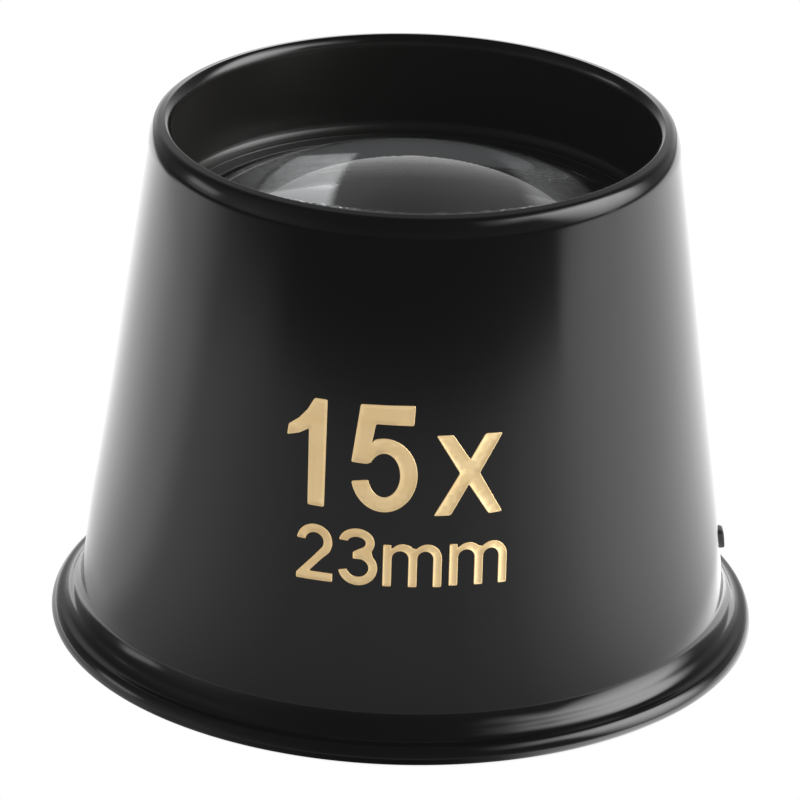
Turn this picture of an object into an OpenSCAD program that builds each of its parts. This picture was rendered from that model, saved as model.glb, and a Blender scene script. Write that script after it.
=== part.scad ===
// Watchmaker's eye loupe. A moulded conical housing holds a barrel at its small
// end. The barrel carries two lenses with a spacer between them, and a screwed
// ring clamps the stack from the eye side. The eye flange stands on z = 0 and the
// optical axis is +Z. The front, where the marking is, faces -Y. All sizes are in
// millimetres.

/* [Housing] */
// Overall height, from the flange face to the top of the rim
body_h = 27.6; // [27:0.1:31]
// Diameter of the cone where it starts to flare into the flange
foot_d = 33.5; // [31:0.1:38]
// Thickness of the plastic outside the barrel, where the barrel seats
seat_wall = 1.14; // [0.9:0.02:1.6]
// Distance from the top of the rim down to the shoulder
shoulder_drop = 3.3; // [2.6:0.1:4]
// How far the shoulder draws in from the cone to the neck
neck_in = 0.05; // [0:0.05:0.4]
// Thickness of the cone's wall, measured level
wall_t = 1.2; // [1:0.05:1.4]
// Thickness of the rolled bead round the rim
bead_d = 1.18; // [1:0.02:1.4]
// Rounding of the wall's inner edge at the eye opening
eye_edge_round = 0.45; // [0.2:0.05:0.7]

/* [Eye flange] */
// Height above the flange face at which the cone starts to flare
flare_z = 2.3; // [2:0.1:4]
// How far the flange stands out from the foot of the cone
flange_out = 1.55; // [1.2:0.05:3]
// Thickness of the flange's rolled edge
flange_h = 1; // [0.8:0.05:1.5]
// Rounding of the flange's upper edge
flange_top_round = 0.5; // [0.3:0.05:0.5]
// Rounding of the flange's lower edge
flange_low_round = 0.25; // [0.1:0.05:0.3]

/* [Gate mark] */
// Height of the moulding gate mark above the flange face
gate_z = 4.05; // [3:0.05:8]
// Turn of the gate mark round the axis, from +X towards +Y
gate_turn = 3; // [0:1:60]
// Width of the gate mark round the cone
gate_w = 1.1; // [0.6:0.1:2]
// Height of the gate mark
gate_h = 1; // [0.5:0.1:1.6]
// How far the gate mark stands out of the cone
gate_out = 0.3; // [0.2:0.05:0.9]

/* [Ledge and collar] */
// Distance from the top of the rim down to the ledge round the lens
mouth_depth = 5.46; // [4.6:0.1:6.5]
// Thickness of the ledge that the barrel seats against
ledge_t = 0.7; // [0.6:0.05:1.2]
// Fillet between the mouth's wall and the ledge
ledge_fillet = 0.3; // [0.2:0.05:0.4]
// Height of the collar that holds the barrel, from the top of the ledge
collar_h = 6.5; // [4:0.1:8]

/* [Barrel] */
// Clear diameter of the lip that the front lens looks through
aperture_d = 23; // [22.4:0.1:23.2]
// Thickness of the lip at its edge
lip_t = 0.15; // [0.1:0.05:0.3]
// How far the lip covers the lens's rim
lip_cover = 0.5; // [0.3:0.05:0.5]
// Width of the barrel's rim, from the clear opening to the housing's ledge
rim_w = 0.8; // [0.75:0.05:1]
// Thickness of the barrel's wall round the retaining ring
barrel_wall = 0.6; // [0.5:0.05:0.7]
// Step between the lens bore and the wider bore that the ring screws into
bore_step = 0.5; // [0.3:0.05:0.5]
// Length of barrel that reaches past the retaining ring
barrel_past = 0.9; // [0.6:0.05:1.5]
// Chamfer at the barrel's mouth, where the ring starts
lead_in = 0.3; // [0.1:0.05:0.4]

/* [Lenses and spacer] */
// Radius of the front lens's outward face
front_radius = 24; // [22:0.5:40]
// Thickness of the front lens's cylindrical edge
front_edge = 1; // [0.8:0.1:2]
// Radius of both faces of the rear lens
rear_radius = 22; // [21:0.5:32]
// Thickness of the rear lens's cylindrical edge
rear_edge = 1.2; // [1:0.1:2]
// Width of the flat land round each face of the rear lens
rear_land = 0.6; // [0.5:0.05:0.9]
// Air gap between the two lenses on the axis
lens_gap = 0.3; // [0.1:0.05:1]
// Thickness of the spacer ring's wall
spacer_wall = 0.5; // [0.35:0.05:0.5]

/* [Retaining ring] */
// Height of the retaining ring
ring_h = 2.4; // [2:0.1:3.2]
// Clear diameter of the retaining ring
ring_clear_d = 21.6; // [20:0.1:22]
// Width of the ring's flat that bears on the lens
ring_land = 0.55; // [0.4:0.05:0.6]
// Depth of the cone that clears the rear lens's face
ring_cone_h = 1; // [0.6:0.1:1.6]
// Width of the two spanner notches
notch_w = 2.2; // [1.4:0.1:3]
// Depth of the two spanner notches
notch_h = 0.9; // [0.5:0.1:1.2]

/* [Clearances] */
// Radial clearance of the barrel in the housing's collar
barrel_fit = 0.03; // [0.02:0.01:0.06]
// Radial clearance of the lenses and the spacer in the barrel
lens_fit = 0.05; // [0.03:0.01:0.08]
// Radial clearance of the retaining ring in the barrel
ring_fit = 0.05; // [0.03:0.01:0.08]
// Length of wide bore above the ring, so that the ring can be drawn up
ring_spare = 0.2; // [0.1:0.02:0.3]

/* [Hidden] */

round_fn = 180;      // steps round the axis
arc_steps = 9;       // steps along a rounding
shoulder_steps = 8;  // steps along the shoulder's curve
groove_turn = 50;    // where the neck meets the bead, below the bead's side
neck_rise = 0.2;     // height of the slope between the neck and the bead
weld = 0.02;         // how far the bead is sunk into the wall's inner face
sunk = 0.4;          // how far the collar is sunk into the cone's wall
over = 1;            // how far a cut runs past what it cuts

// the ledge and the barrel that seats under it
seat_z = body_h - mouth_depth;
aperture_r = aperture_d / 2;
rim_r = aperture_r + rim_w;
shoulder_seat_z = seat_z - ledge_t;
collar_z = seat_z - collar_h;
lens_r = aperture_r + lip_cover;
bore_r = lens_r + lens_fit;
wide_r = lens_r + bore_step;
barrel_r = wide_r + barrel_wall;

// the cone, level by level, drawn through its foot and the wall at the barrel's seat
foot_r = foot_d / 2;
seat_r = barrel_r + barrel_fit + seat_wall;
shoulder_z = body_h - shoulder_drop;
function cone_r(z) = foot_r + (seat_r - foot_r) * (z - flare_z) / (shoulder_seat_z - flare_z);
function inner_r(z) = cone_r(z) - wall_t;
cone_lean = atan((foot_r - seat_r) / (shoulder_seat_z - flare_z));

// the flange: the flare leaves the cone at a crease and runs out to the rolled edge
flange_r = foot_r + flange_out;
roll_r = flange_r - flange_top_round;
flare_drop = 0.7 * (flare_z - flange_h);
flare_mid = [foot_r + 0.16 * (roll_r - foot_r), flare_z - flare_drop];

// the rim
bead_r = bead_d / 2;
bead_z = body_h - bead_r;
bead_ring_r = inner_r(bead_z) + bead_r - weld;
groove_r = bead_ring_r + bead_r * cos(groove_turn);
groove_z = bead_z - bead_r * sin(groove_turn);
neck_z = groove_z - neck_rise;

// the lens stack, from the lip down
front_top_z = seat_z - lip_t;
front_edge_z = front_top_z - lip_cover - lens_fit;
front_flat_z = front_edge_z - front_edge;
function cap_h(radius, half) = radius - sqrt(radius * radius - half * half);
rear_face_r = lens_r - rear_land;
rear_cap = cap_h(rear_radius, rear_face_r);
spacer_h = rear_cap + lens_gap;
rear_top_z = front_flat_z - spacer_h;
rear_low_z = rear_top_z - rear_edge;
ring_low_z = rear_low_z - ring_h;
ring_r = wide_r - ring_fit;
barrel_z = ring_low_z - barrel_past;
wide_top_z = rear_low_z + ring_spare;

// points along an arc about [x, y], from one angle to another
function arc(x, y, radius, from, to, steps = arc_steps) =
    [for (i = [0:steps]) let (a = from + (to - from) * i / steps)
        [x + radius * cos(a), y + radius * sin(a)]];

// points along a smooth curve from a to c that heads for b at both ends
function sweep(a, b, c, steps = arc_steps) =
    [for (i = [0:steps]) let (t = i / steps)
        (1 - t) * (1 - t) * a + 2 * t * (1 - t) * b + t * t * c];

// outline of the flange, cone, shoulder and neck, from the flange face upwards
function outer_outline() = concat(
    arc(flange_r - flange_low_round, flange_low_round, flange_low_round, -90, 0),
    arc(roll_r, flange_h - flange_top_round, flange_top_round, 0, 90),
    sweep([roll_r, flange_h], flare_mid, [foot_r, flare_z]),
    [for (i = [0:shoulder_steps]) let (
        share = i / shoulder_steps,
        z = shoulder_z + (neck_z - shoulder_z) * share
    ) [cone_r(z) - neck_in * share * share, z]],
    [[groove_r, groove_z], [groove_r, bead_z]]
);

// Cone wall, flange and rolled bead
module shell() {
    edge = eye_edge_round;
    rotate_extrude($fn = round_fn)
        polygon(concat(
            outer_outline(),
            [[inner_r(bead_z), bead_z]],
            arc(inner_r(edge) + edge, edge, edge, 180, 270)
        ));
    rotate_extrude($fn = round_fn)
        translate([bead_ring_r, bead_z])
            circle(d = bead_d, $fn = 48);
}

// Ledge round the lens, and the collar below it that holds the barrel
module collar() {
    fillet_z = seat_z + ledge_fillet;
    fillet_r = inner_r(fillet_z) - ledge_fillet / cos(cone_lean);
    rotate_extrude($fn = round_fn)
        polygon(concat(
            [[rim_r + barrel_fit, shoulder_seat_z], [rim_r + barrel_fit, seat_z]],
            arc(fillet_r, fillet_z, ledge_fillet, 270, 360 + cone_lean),
            [
                [inner_r(fillet_z) + sunk, fillet_z],
                [inner_r(collar_z) + sunk, collar_z],
                [barrel_r + barrel_fit, collar_z],
                [barrel_r + barrel_fit, shoulder_seat_z]
            ]
        ));
}

// Small square mark that the mould's gate leaves on the side of the cone
module gate_mark() {
    rotate([0, 0, gate_turn])
        translate([cone_r(gate_z) - wall_t / 2, -gate_w / 2, gate_z])
            cube([wall_t / 2 + gate_out, gate_w, gate_h]);
}

module housing() {
    color([0.04, 0.04, 0.045]) {
        shell();
        collar();
        gate_mark();
    }
}

// Tube with a lip over the front lens and a wider bore for the ring
module lens_barrel() {
    color([0.06, 0.06, 0.065])
        rotate_extrude($fn = round_fn)
            polygon([
                [aperture_r, front_top_z],
                [aperture_r, seat_z],
                [rim_r, seat_z],
                [rim_r, shoulder_seat_z],
                [barrel_r, shoulder_seat_z],
                [barrel_r, barrel_z],
                [wide_r + lead_in, barrel_z],
                [wide_r, barrel_z + lead_in],
                [wide_r, wide_top_z],
                [bore_r, wide_top_z + wide_r - bore_r],
                [bore_r, front_edge_z]
            ]);
}

// Plano-convex lens: its bevelled rim sits in the cone under the lip
module front_lens() {
    apex_z = front_top_z + cap_h(front_radius, aperture_r - lens_fit);
    cone_h = apex_z - front_edge_z + over;
    color([0.72, 0.8, 0.84, 0.45])
        intersection() {
            translate([0, 0, apex_z - front_radius])
                sphere(r = front_radius, $fn = round_fn);
            rotate_extrude($fn = round_fn)
                polygon([
                    [0, front_flat_z],
                    [lens_r, front_flat_z],
                    [lens_r, front_edge_z],
                    [lens_r - cone_h, front_edge_z + cone_h],
                    [0, front_edge_z + cone_h]
                ]);
        }
}

// Plain tube that keeps the two lenses apart at their rims
module spacer_ring() {
    color([0.05, 0.05, 0.05])
        translate([0, 0, rear_top_z])
            difference() {
                cylinder(r = lens_r, h = spacer_h, $fn = round_fn);
                translate([0, 0, -over])
                    cylinder(r = lens_r - spacer_wall, h = spacer_h + 2 * over, $fn = round_fn);
            }
}

// Biconvex lens with a flat land round each face
module rear_lens() {
    color([0.72, 0.8, 0.84, 0.45]) {
        translate([0, 0, rear_low_z])
            cylinder(r = lens_r, h = rear_edge, $fn = round_fn);
        intersection() {
            translate([0, 0, rear_top_z + rear_cap - rear_radius])
                sphere(r = rear_radius, $fn = round_fn);
            translate([0, 0, rear_low_z - rear_cap + rear_radius])
                sphere(r = rear_radius, $fn = round_fn);
            translate([0, 0, rear_low_z - rear_radius])
                cylinder(r = (lens_r + rear_face_r) / 2, h = 2 * rear_radius + rear_edge, $fn = round_fn);
        }
    }
}

// Ring that clamps the stack, with two spanner notches in its eye-side face
module retaining_ring() {
    clear_r = ring_clear_d / 2;
    color([0.06, 0.06, 0.06])
        difference() {
            rotate_extrude($fn = round_fn)
                polygon([
                    [clear_r, ring_low_z],
                    [ring_r, ring_low_z],
                    [ring_r, rear_low_z],
                    [lens_r - ring_land, rear_low_z],
                    [clear_r, rear_low_z - ring_cone_h]
                ]);
            for (turn = [0, 180])
                rotate([0, 0, turn])
                    translate([clear_r - over, -notch_w / 2, ring_low_z - over])
                        cube([ring_r - clear_r + 2 * over, notch_w, notch_h + over]);
        }
}

housing();
lens_barrel();
front_lens();
spacer_ring();
rear_lens();
retaining_ring();
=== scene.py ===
"""Visual model of a watchmaker's eye loupe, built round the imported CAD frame.

The moulded housing, the barrel, both lenses, the spacer and the retaining ring are turned
from their sections by one Geometry Nodes lathe. The threads are helical ridges from a second
tree, and the gold figures are stamped outlines wrapped on the cone. Sizes are in millimetres
until a mesh is written, and the frame is in metres.
"""

import logging
import math
from dataclasses import dataclass
from enum import Enum
from functools import partial, reduce
from typing import Callable, Mapping, Sequence

import bmesh
import bpy
from mathutils import Matrix, Vector
from mathutils.geometry import delaunay_2d_cdt

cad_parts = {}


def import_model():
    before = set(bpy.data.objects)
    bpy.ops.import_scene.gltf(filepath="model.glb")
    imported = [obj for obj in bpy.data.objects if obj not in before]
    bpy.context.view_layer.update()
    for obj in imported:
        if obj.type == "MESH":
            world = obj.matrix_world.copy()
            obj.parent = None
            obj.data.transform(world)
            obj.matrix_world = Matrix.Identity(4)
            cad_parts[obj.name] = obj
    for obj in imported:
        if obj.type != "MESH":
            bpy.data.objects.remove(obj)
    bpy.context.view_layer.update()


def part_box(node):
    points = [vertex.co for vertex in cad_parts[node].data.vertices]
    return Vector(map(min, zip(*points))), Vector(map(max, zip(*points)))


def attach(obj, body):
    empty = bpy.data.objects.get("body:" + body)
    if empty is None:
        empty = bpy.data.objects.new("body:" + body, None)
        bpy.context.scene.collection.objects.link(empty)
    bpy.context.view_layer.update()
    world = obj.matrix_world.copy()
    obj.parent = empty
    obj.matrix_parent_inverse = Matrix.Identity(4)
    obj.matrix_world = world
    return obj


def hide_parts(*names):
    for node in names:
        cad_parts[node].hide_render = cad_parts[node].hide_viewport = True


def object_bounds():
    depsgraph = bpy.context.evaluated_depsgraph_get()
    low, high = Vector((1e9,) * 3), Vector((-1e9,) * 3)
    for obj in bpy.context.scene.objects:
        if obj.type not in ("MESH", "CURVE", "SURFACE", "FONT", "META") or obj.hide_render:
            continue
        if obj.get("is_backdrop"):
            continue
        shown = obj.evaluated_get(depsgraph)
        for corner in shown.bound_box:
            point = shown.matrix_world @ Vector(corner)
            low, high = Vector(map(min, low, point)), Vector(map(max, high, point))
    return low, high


log = logging.getLogger("eye_loupe")

MM = 0.001
WELD = 0.0004
Point = tuple[float, float]
Span = tuple[float, float]
Table = tuple[Point, ...]
Colour = tuple[float, float, float]
Socket = bpy.types.NodeSocket


class Body(Enum):
    """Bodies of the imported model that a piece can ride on."""

    HOUSING = "housing"
    LENS_STACK = "lens_stack"


class Slot(Enum):
    """Material slots of the record."""

    SHELL = "shell"
    BARREL = "barrel"
    LENS = "lens"
    RING = "ring"
    MARKING = "marking"


class Graph:
    """Adds nodes to a node tree and joins them."""

    def __init__(self, tree: bpy.types.NodeTree) -> None:
        """Keep the tree that the nodes go into."""
        self.tree = tree

    def add(
        self,
        kind: str,
        inputs: Mapping[str | int, object] | None = None,
        **settings: object,
    ) -> bpy.types.Node:
        """Add one node.

        Args:
            kind: Blender's name for the node's type.
            inputs: values or sockets for the node's inputs, by name or by place.
            settings: the node's own properties.

        Returns:
            The new node.
        """
        node = self.tree.nodes.new(kind)
        for name, setting in settings.items():
            setattr(node, name, setting)
        for key, value in (inputs or {}).items():
            self.feed(node.inputs[key], value)
        return node

    def feed(self, socket: Socket, value: object) -> None:
        """Join an input to another node's output, or give it a value.

        Args:
            socket: the input.
            value: a socket, a number, a vector or a colour.
        """
        if isinstance(value, Socket):
            self.tree.links.new(value, socket)
        elif socket.type == "RGBA" and len(value) == 3:
            socket.default_value = (*value, 1.0)
        else:
            socket.default_value = value

    def math(self, operation: str, a: object, b: object = 0.0, clamp: bool = False) -> Socket:
        """Work out one number.

        Args:
            operation: the Math node's operation.
            a: first number or socket.
            b: second number or socket.
            clamp: whether the result is kept between 0 and 1.

        Returns:
            The socket that holds the result.
        """
        node = self.add("ShaderNodeMath", {0: a, 1: b}, operation=operation, use_clamp=clamp)
        return node.outputs[0]

    def product(self, *factors: object) -> Socket:
        """Multiply two or more numbers."""
        return reduce(partial(self.math, "MULTIPLY"), factors)

    def total(self, *parts: object) -> Socket:
        """Add two or more numbers."""
        return reduce(partial(self.math, "ADD"), parts)

    def away(self, spot: bpy.types.NodeOutputs) -> Socket:
        """Work out how far a spot lies from the Z axis, in metres."""
        across, deep = (self.product(spot[axis], spot[axis]) for axis in "XY")
        return self.math("SQRT", self.total(across, deep))

    def heading(self, spot: bpy.types.NodeOutputs) -> Socket:
        """Work out a spot's turn from the front towards +X, in degrees."""
        front = self.product(spot["Y"], -1.0)
        return self.product(self.math("ARCTAN2", spot["X"], front), math.degrees(1.0))

    def ramp(
        self, value: object, start: object, end: object, low: object = 0.0, high: object = 1.0
    ) -> Socket:
        """Pass smoothly from low to high while the value goes from start to end.

        Args:
            value: the number that is looked at.
            start: where the result leaves low.
            end: where it reaches high.
            low: result below the start.
            high: result past the end.

        Returns:
            The socket that holds the result.
        """
        inputs = {
            "Value": value,
            "From Min": start,
            "From Max": end,
            "To Min": low,
            "To Max": high,
        }
        node = self.add("ShaderNodeMapRange", inputs, interpolation_type="SMOOTHSTEP")
        return node.outputs["Result"]

    def steps(self, value: object, stops: Table) -> Socket:
        """Read a number off a table of places and values, with straight lines between them.

        Args:
            value: the number that is looked at.
            stops: places in rising order, each with its value.

        Returns:
            The socket that holds the result.
        """
        first, last = stops[0][0], stops[-1][0]
        top = max(level for _, level in stops)
        share = self.add(
            "ShaderNodeMapRange", {"Value": value, "From Min": first, "From Max": last}
        ).outputs["Result"]
        node = self.add("ShaderNodeValToRGB", {"Fac": share})
        while len(node.color_ramp.elements) < len(stops):
            node.color_ramp.elements.new(0.5)
        for element, (place, level) in zip(node.color_ramp.elements, stops):
            element.position = (place - first) / (last - first)
            element.color = (level / top, level / top, level / top, 1.0)
        return self.math("MULTIPLY", node.outputs["Color"], top)

    def blend(self, factor: object, a: object, b: object) -> Socket:
        """Mix two colours by a factor."""
        node = self.add("ShaderNodeMix", {0: factor, 6: a, 7: b}, data_type="RGBA")
        return node.outputs[2]

    def mix(self, factor: object, a: Socket, b: Socket) -> Socket:
        """Mix two shaders by a factor."""
        return self.add("ShaderNodeMixShader", {0: factor, 1: a, 2: b}).outputs[0]


@dataclass(frozen=True)
class Envelope:
    """Size of a CAD node that is round about the Z axis, in millimetres."""

    radius: float
    low: float
    high: float

    @classmethod
    def of(cls, node: str) -> "Envelope":
        """Read a node's size from the frame."""
        low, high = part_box(node)
        return cls(radius=high[1] / MM, low=low[2] / MM, high=high[2] / MM)


def sides(points: Sequence[Point]) -> list[tuple[Point, Point]]:
    """Pair each point of a closed loop with the next one."""
    return list(zip(points, [*points[1:], points[0]]))


def part_way(p: Point, q: Point, t: float) -> Point:
    """Give the point that lies a share t of the way from p to q."""
    return p[0] + (q[0] - p[0]) * t, p[1] + (q[1] - p[1]) * t


def round_point(centre: Point, radii: Point, turn: float) -> Point:
    """Give the point of an ellipse at an angle in radians."""
    return centre[0] + radii[0] * math.cos(turn), centre[1] + radii[1] * math.sin(turn)


class Outline:
    """Section of a turned piece: points of radius and height round a closed loop."""

    hold = 0.03
    least = 1e-4

    def __init__(self) -> None:
        """Start an empty outline."""
        self.points: list[Point] = []

    def to(self, *points: Point) -> "Outline":
        """Add plain corners."""
        self.points.extend(points)
        return self

    def arc(
        self, centre: Point, radius: float, start: float, end: float, steps: int = 8
    ) -> "Outline":
        """Add an arc.

        Args:
            centre: the arc's centre.
            radius: its radius.
            start: its first angle in degrees, from the level.
            end: its last angle.
            steps: how many pieces it is cut into.

        Returns:
            The outline itself.
        """
        for i in range(steps + 1):
            turn = math.radians(start + (end - start) * i / steps)
            self.points.append(round_point(centre, (radius, radius), turn))
        return self

    def follow(
        self, radius_at: Callable[[float], float], start: float, end: float, steps: int
    ) -> "Outline":
        """Add points of a wall whose radius is a function of its height.

        Args:
            radius_at: gives the radius at a height.
            start: height of the first point.
            end: height of the last point.
            steps: how many pieces the wall is cut into.

        Returns:
            The outline itself.
        """
        for i in range(steps + 1):
            z = start + (end - start) * i / steps
            self.points.append((radius_at(z), z))
        return self

    def held(self) -> list[Point]:
        """Give the loop with a point near both ends of each long straight, and no doubles.

        Returns:
            The points of the section, in order.
        """
        clean = [p for p, q in sides(self.points) if math.dist(p, q) > self.least]
        result: list[Point] = []
        for p, q in sides(clean):
            result.append(p)
            length = math.dist(p, q)
            on_axis = p[0] == 0.0 and q[0] == 0.0
            if length > 4 * self.hold and not on_axis:
                share = self.hold / length
                result.extend(part_way(p, q, t) for t in (share, 1 - share))
        return result


def linked(name: str, mesh: bpy.types.Mesh) -> bpy.types.Object:
    """Give a mesh an object at the origin.

    Args:
        name: the object's name.
        mesh: its mesh.

    Returns:
        The object, linked to the scene.
    """
    piece = bpy.data.objects.new(name, mesh)
    bpy.context.scene.collection.objects.link(piece)
    return piece


def new_object(
    name: str, points: Sequence[Sequence[float]], faces: Sequence[Sequence[int]] = ()
) -> bpy.types.Object:
    """Make an object at the origin from points in millimetres.

    Args:
        name: the object's name.
        points: the mesh's points.
        faces: rows of point numbers; without them the points stay loose.

    Returns:
        The object, linked to the scene, with its points in metres.
    """
    mesh = bpy.data.meshes.new(name)
    mesh.from_pydata([tuple(number * MM for number in point) for point in points], [], faces)
    mesh.update()
    return linked(name, mesh)


def solid(
    name: str, shape: bmesh.types.BMesh, finish: bpy.types.Material | None = None
) -> bpy.types.Object:
    """Make an object of a shape and free the shape.

    Args:
        name: the object's name.
        shape: the shape, in metres.
        finish: its material, if it has one.

    Returns:
        The object, linked to the scene.
    """
    mesh = bpy.data.meshes.new(name)
    shape.to_mesh(mesh)
    shape.free()
    if finish:
        mesh.materials.append(finish)
    return linked(name, mesh)


def bake(piece: bpy.types.Object) -> bpy.types.Object:
    """Turn a piece's modifiers into a plain mesh and take them off.

    Args:
        piece: the object whose modifiers are applied.

    Returns:
        The same object with its new mesh.
    """
    evaluated = piece.evaluated_get(bpy.context.evaluated_depsgraph_get())
    mesh = bpy.data.meshes.new_from_object(evaluated)
    finishes = [finish for finish in mesh.materials if finish]
    mesh.materials.clear()
    for finish in finishes[:1]:
        mesh.materials.append(finish)
    mesh.polygons.foreach_set("material_index", [0] * len(mesh.polygons))
    piece.modifiers.clear()
    piece.data = mesh
    mesh.name = piece.name
    return piece


def close_up(piece: bpy.types.Object, smooth: bool = True) -> bpy.types.Object:
    """Merge doubles, drop loose edges, turn the faces outwards and set the shading.

    Args:
        piece: the object whose mesh is put in order.
        smooth: whether its faces are shaded smooth.

    Returns:
        The same object.
    """
    shell = bmesh.new()
    shell.from_mesh(piece.data)
    bmesh.ops.remove_doubles(shell, verts=shell.verts, dist=WELD * MM)
    loose = [edge for edge in shell.edges if not edge.link_faces]
    bmesh.ops.delete(shell, geom=loose, context="EDGES")
    bmesh.ops.recalc_face_normals(shell, faces=shell.faces)
    for face in shell.faces:
        face.smooth = smooth
    shell.to_mesh(piece.data)
    shell.free()
    return piece


def cut(piece: bpy.types.Object, cutter: bpy.types.Object) -> None:
    """Take a cutter's shape out of a piece.

    Args:
        piece: the object that is cut.
        cutter: the object whose shape is taken out.
    """
    knife = piece.modifiers.new("cut", "BOOLEAN")
    knife.operation = "DIFFERENCE"
    knife.solver = "EXACT"
    knife.object = cutter
    bake(piece)


def bevel(piece: bpy.types.Object, width: float, segments: int) -> None:
    """Round a piece's edges, by a width in millimetres."""
    modifier = piece.modifiers.new("bevel", "BEVEL")
    modifier.width, modifier.segments = width * MM, segments


def join(name: str, pieces: Sequence[bpy.types.Object]) -> bpy.types.Object:
    """Put several meshes of one finish into one object.

    Args:
        name: the new object's name.
        pieces: the objects to join; they are removed.

    Returns:
        The joined object.
    """
    whole = bmesh.new()
    for piece in pieces:
        whole.from_mesh(piece.data)
    joined = solid(name, whole, pieces[0].data.materials[0])
    for piece in pieces:
        bpy.data.objects.remove(piece)
    return joined


class Lathe:
    """Geometry Nodes tree that turns a section round the Z axis."""

    weld = 0.0003

    def __init__(self) -> None:
        """Build the tree, with named inputs for the steps round and the finish."""
        self.tree = bpy.data.node_groups.new("lathe", "GeometryNodeTree")
        face = self.tree.interface
        face.new_socket("Section", in_out="INPUT", socket_type="NodeSocketGeometry")
        self.steps = face.new_socket("Steps Round", in_out="INPUT", socket_type="NodeSocketInt")
        self.finish = face.new_socket("Finish", in_out="INPUT", socket_type="NodeSocketMaterial")
        face.new_socket("Turned", in_out="OUTPUT", socket_type="NodeSocketGeometry")
        graph = Graph(self.tree)
        given = graph.add("NodeGroupInput").outputs
        size = graph.add("GeometryNodeAttributeDomainSize", {"Geometry": given["Section"]})
        count = size.outputs["Point Count"]
        rows = graph.math("ADD", count, 1.0)
        rings = graph.math("ADD", given["Steps Round"], 1.0)
        grid = graph.add("GeometryNodeMeshGrid", {"Vertices X": rings, "Vertices Y": rows})
        index = graph.add("GeometryNodeInputIndex").outputs[0]
        ring = graph.math("FLOOR", graph.math("DIVIDE", graph.math("ADD", index, 0.5), rows))
        row = graph.math("SUBTRACT", index, graph.math("MULTIPLY", ring, rows))
        sample = graph.add("GeometryNodeSampleIndex", data_type="FLOAT_VECTOR", domain="POINT")
        graph.feed(sample.inputs["Geometry"], given["Section"])
        graph.feed(sample.inputs["Value"], graph.add("GeometryNodeInputPosition").outputs[0])
        graph.feed(sample.inputs["Index"], graph.math("ROUND", graph.math("MODULO", row, count)))
        share = graph.math("DIVIDE", ring, given["Steps Round"])
        turned = graph.add(
            "ShaderNodeVectorRotate",
            {
                "Vector": sample.outputs[0],
                "Axis": (0.0, 0.0, 1.0),
                "Angle": graph.math("MULTIPLY", share, math.tau),
            },
            rotation_type="AXIS_ANGLE",
        )
        placed = graph.add(
            "GeometryNodeSetPosition",
            {"Geometry": grid.outputs["Mesh"], "Position": turned.outputs[0]},
        )
        merged = graph.add(
            "GeometryNodeMergeByDistance",
            {"Geometry": placed.outputs[0], "Distance": self.weld * MM},
        )
        real = graph.add("GeometryNodeRealizeInstances", {"Geometry": merged.outputs[0]})
        dressed = graph.add(
            "GeometryNodeSetMaterial",
            {"Geometry": real.outputs[0], "Material": given["Finish"]},
        )
        graph.add("NodeGroupOutput", {"Turned": dressed.outputs[0]})

    def turn(
        self, name: str, outline: Outline, finish: bpy.types.Material, steps: int = 256
    ) -> bpy.types.Object:
        """Turn one piece.

        Args:
            name: the piece's name.
            outline: its section.
            finish: its material.
            steps: how many steps it has round the axis.

        Returns:
            The closed, smooth piece.
        """
        section = [(radius, 0.0, height) for radius, height in outline.held()]
        piece = new_object(name, section)
        modifier = piece.modifiers.new("lathe", "NODES")
        modifier.node_group = self.tree
        modifier[self.steps.identifier] = steps
        modifier[self.finish.identifier] = finish
        return close_up(bake(piece))


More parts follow.
